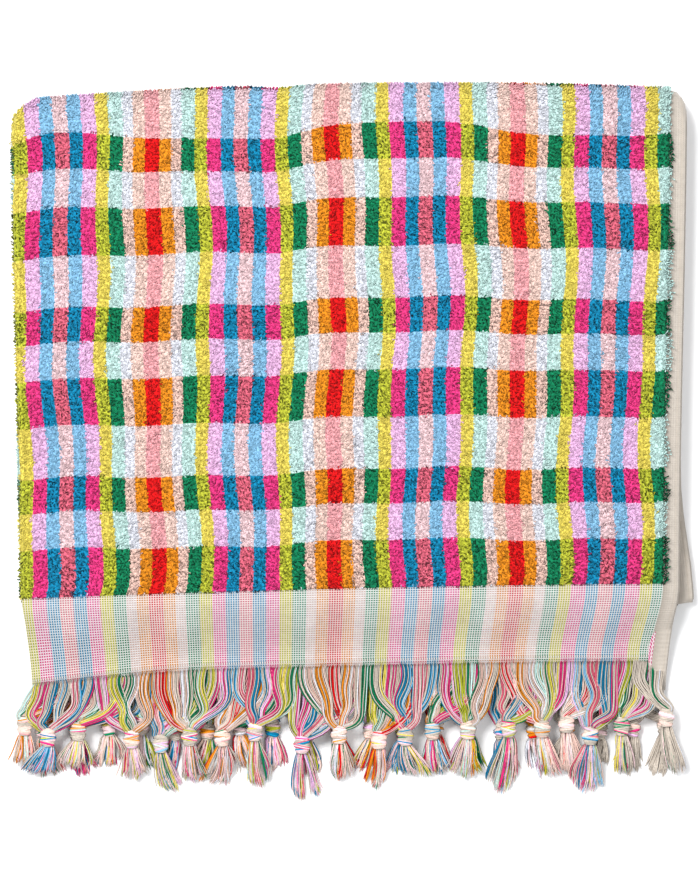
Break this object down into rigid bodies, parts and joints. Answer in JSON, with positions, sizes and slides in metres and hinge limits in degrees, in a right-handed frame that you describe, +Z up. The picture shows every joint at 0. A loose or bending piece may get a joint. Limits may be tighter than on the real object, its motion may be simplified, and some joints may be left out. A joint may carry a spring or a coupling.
{
  "type": "folded turkish towel",
  "caption": "Checked terry bath towel folded flat, with a flat-woven striped border and a knotted tassel fringe along its front edge.",
  "frame": {"origin": "on the surface that the towel lies on, under the middle of its box", "axes": "+Z up, +Y from the fringe to the thick rounded fold, +X from the lengthwise fold to the open selvedges"},
  "size_m": [0.3786, 0.3964, 0.0281],
  "materials": {
    "terry_cloth": "cotton terry with loops on both faces, in a check of deep and pale stripes, with a flat-woven striped border",
    "fringe_yarn": "twisted cotton warp yarn, off-white with some dyed yarns, knotted into tassels"
  },
  "bodies": {
    "root": {"towel_cloth": "terry_cloth", "fringe_top": "fringe_yarn", "fringe_second": "fringe_yarn", "fringe_third": "fringe_yarn", "fringe_bottom": "fringe_yarn"}
  },
  "joints": []
}
